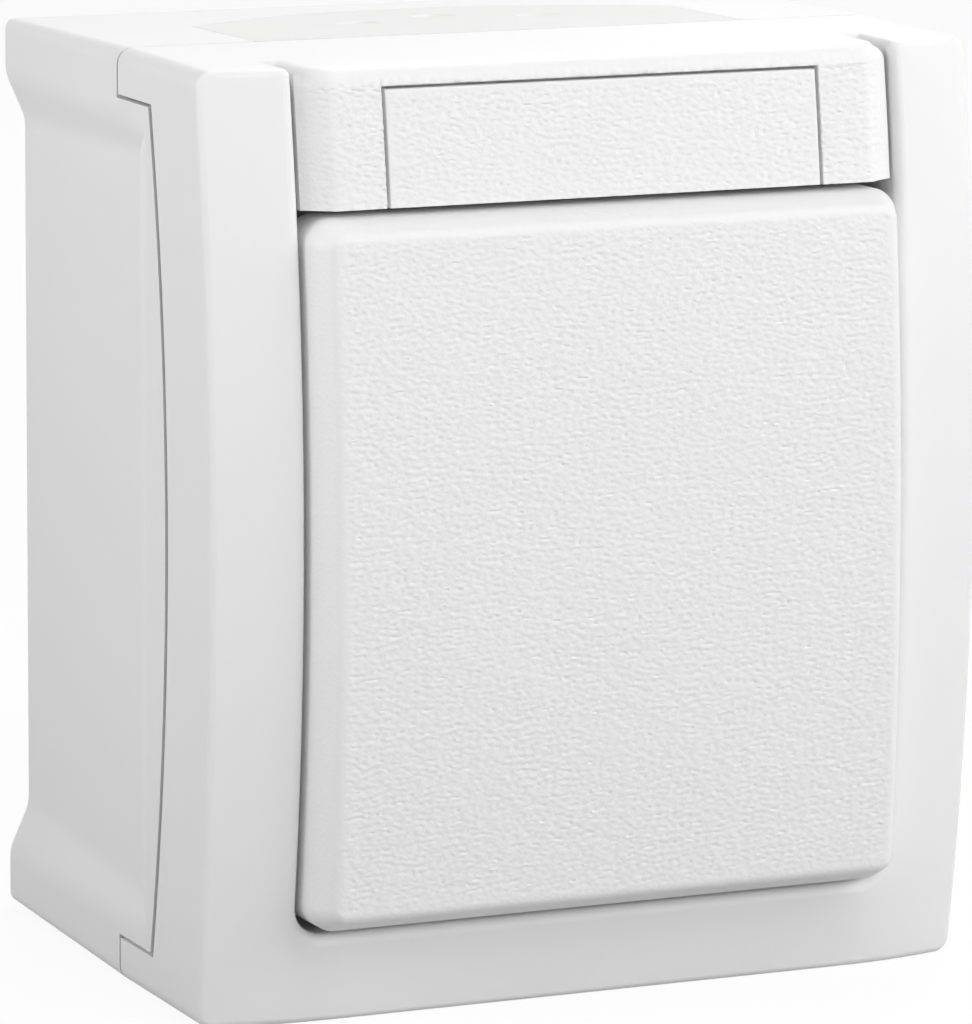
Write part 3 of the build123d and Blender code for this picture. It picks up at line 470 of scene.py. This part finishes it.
# front: forward = front - bow sag(up) - bevel drop(distance in from the outline) + grain; the rim then runs back as
# a wall, turns in by the skin, comes forward again and closes on a point under the middle
def makeRocker(spec):
    half, corner, skin = np.array(spec["half"]), spec["corner"], spec["skin"]
    x, up = np.meshgrid(*(gridLines(-h, h, pitch, spec["edgeLines"]) for h, pitch in zip(half, grain["pitch"])))
    rows, cols = x.shape
    x, up, inward = roundCorners(x, up, half, corner)
    forward = spec["front"] - sag(spec["bow"], up)
    forward = forward - bevelDrop(inward, spec["bevel"], spec["bevelDrop"], spec["edgeRound"])
    forward = forward + grainAt(x, up, fade(inward, *spec["grainFade"]))
    points = np.stack([x, up, forward], -1).reshape(-1, 3)
    rim = points[rimOf(rows, cols), :2]
    hub = np.clip(rim, corner - half, half - corner)  # the nearest place between the centres of the corners
    inside = rim - skin * (rim - hub) / corner
    rear = np.full((len(rim), 1), spec["rearEdge"])
    ceiling = (spec["front"] - skin - sag(spec["bow"], inside[:, 1]))[:, None]
    middle = [[0, 0, spec["front"] - skin]]
    rings = [np.hstack([rim, rear]), np.hstack([inside, rear]), np.hstack([inside, ceiling])]
    loops = [rimOf(rows, cols)] + [rows * cols + k * len(rim) + np.arange(len(rim)) for k in range(len(rings))]
    faces = [gridFaces(rows, cols)] + [bandFaces(*pair) for pair in zip(loops, loops[1:])]
    tip = np.full(len(rim), rows * cols + len(rings) * len(rim))
    faces.append(np.stack([loops[-1], tip, np.roll(loops[-1], -1)], -1))
    points = tipped(np.vstack([points, *rings, middle]), spec["origin"], spec["lean"])
    clipPoints, clipFaces = boxes([((-wide, low, rearward), (wide, high, ahead))
                                   for wide, start, stop, rearward, ahead in (spec["leg"], spec["hook"], spec["rib"])
                                   for low, high in mirrored(start, stop)])
    faces.append(clipFaces + len(points))
    points = np.vstack([points, tipped(clipPoints, spec["origin"], spec["clipLean"])])
    putPiece("rocker_cap", points, faces, "rocker_body", "rocker", "grained_moulding")


makeRocker(rockerCap)

# label hood, mm; depth is counted from the wall
labelHood = {
    "half": 25.28, "low": 26.75, "high": 37.5, "back": 39.6, "bowCentre": -171.05, "bow": 220.7,
    "bevel": 2.3, "bevelDrop": 1.5, "bevelRound": 1.0, "topRound": 1.4,
    "seat": (18.65, 36.0, 1.65), "lip": 0.1,  # half width, top and depth of the insert's seat, and its eased edge
    "hollow": (23.48, 35.7, 43.6),  # half width, top and floor of the hollow behind
    "step": 0.01,  # how far a wall across the depth leans
    "grainShift": 7.0, "grainFade": (0.5, 2.2),  # the grain sets in over these distances from the sides
    "grainTop": (1.1, 0.3),  # and ends over these below the top
    "edgeLines": (0, 0.25, 0.6, 1.0, 1.4, 1.8, 2.0, 2.2, 2.4, 2.7, 3.0),
    "levelLines": (0, 0.1, 0.2), "arcLines": 9,
    # snap nubs on both sides
    "nubReach": (24.5, 25.5), "nubDepth": (41.4, 42.6), "nubLevel": (30.125, 34.125),
}


# two sheets over the same outline, joined by a wall round the rim; depth is towards the user
def closedSheet(x, z, front, back):
    rows, cols = x.shape
    count = rows * cols
    points = np.concatenate([np.stack([x, -front, z], -1), np.stack([x, -back, z], -1)]).reshape(-1, 3)
    rim = rimOf(rows, cols)
    return points, [gridFaces(rows, cols), gridFaces(rows, cols, count)[:, ::-1], bandFaces(rim, rim + count)]


# the bow that the hood's front and the insert share
def hoodBow(spec, z):
    return spec["bowCentre"] + np.sqrt(spec["bow"] ** 2 - z ** 2)


# lines over the hood, with more of them at the bevels, the top rounding, the seat's lip and the hollow's wall
def hoodGrid(spec):
    atSeat, atHollow = np.array([0, spec["step"], spec["lip"] / 2, spec["lip"]]), np.array([0, spec["step"]])
    seatHalf, seatTop, _ = spec["seat"]
    hollowHalf, hollowTop, _ = spec["hollow"]
    side = np.concatenate([seatHalf + atSeat, hollowHalf + atHollow])
    arc = spec["topRound"] * (1 - np.sin(np.linspace(0, np.pi / 2, spec["arcLines"])))
    level = np.concatenate([spec["high"] - arc, seatTop + atSeat, hollowTop + atHollow])
    xs = gridLines(-spec["half"], spec["half"], grain["pitch"][0], spec["edgeLines"], np.concatenate([-side, side]))
    zs = gridLines(spec["low"], spec["high"] - spec["topRound"], grain["pitch"][1], spec["levelLines"], level)
    return np.meshgrid(xs, zs)


# front: depth = bow(height) - side bevels - top rounding - seat for the insert + grain; back: a step for the hollow
def makeHood(spec):
    half, high, step = spec["half"], spec["high"], spec["step"]
    seatHalf, seatTop, seatDeep = spec["seat"]
    hollowHalf, hollowTop, hollowFront = spec["hollow"]
    x, z = hoodGrid(spec)
    flatX = np.abs(x)
    front = hoodBow(spec, z) - bevelDrop(half - flatX, spec["bevel"], spec["bevelDrop"], spec["bevelRound"])
    front = front - roundDrop(high - z, spec["topRound"])
    outside = np.maximum(flatX - seatHalf, z - seatTop)
    full, gone = (high - down for down in spec["grainTop"])
    shown = fade(half - flatX, *spec["grainFade"]) * (1 - fade(z, full, gone))
    grained = grainAt(x + spec["grainShift"], z, shown) - roundDrop(outside, spec["lip"])
    front = front + np.where(outside < step / 2, -seatDeep, grained)
    inHollow = (flatX < hollowHalf + step / 2) & (z < hollowTop + step / 2)
    back = np.where(inHollow, hollowFront, spec["back"])
    middle, halfHigh = (spec["low"] + high) / 2, (high - spec["low"]) / 2
    x, up, _ = roundCorners(x, z - middle, (half, halfHigh), spec["topRound"], only=1)
    points, faces = closedSheet(x, up + middle, front, back)
    (nearWall, nearUser), (lowest, highest) = spec["nubDepth"], spec["nubLevel"]
    nubPoints, nubFaces = boxes([((left, -nearUser, lowest), (right, -nearWall, highest))
                                 for left, right in mirrored(*spec["nubReach"])])
    faces.append(nubFaces + len(points))
    points = np.vstack([points, nubPoints])
    putPiece("label_hood_grained", points, faces, "housing", "label_hood", "grained_moulding")


makeHood(labelHood)

# label insert, mm
labelInsert = {
    "half": 18.4, "low": 26.75, "high": 35.75, "thick": 1.4, "edgeRound": 0.12,
    "edgeLines": (0, 0.04, 0.12), "grainShift": (-5.0, 11.0), "grainFade": (0.1, 0.8),
}


# a plate that follows the hood's bow, its face grained and its edges eased
def makeInsert(spec, hood):
    x, z = np.meshgrid(gridLines(-spec["half"], spec["half"], grain["pitch"][0], spec["edgeLines"]),
                       gridLines(spec["low"], spec["high"], grain["pitch"][1], spec["edgeLines"]))
    bow = hoodBow(hood, z)
    inward = np.minimum(spec["half"] - np.abs(x), spec["high"] - z)
    aside, above = spec["grainShift"]
    grained = grainAt(x + aside, z + above, fade(inward, *spec["grainFade"]))
    points, faces = closedSheet(x, z, bow - roundDrop(inward, spec["edgeRound"]) + grained, bow - spec["thick"])
    putPiece("label_insert_grained", points, faces, "housing", "label_insert", "grained_moulding")


makeInsert(labelInsert, labelHood)
print("grained pieces built")
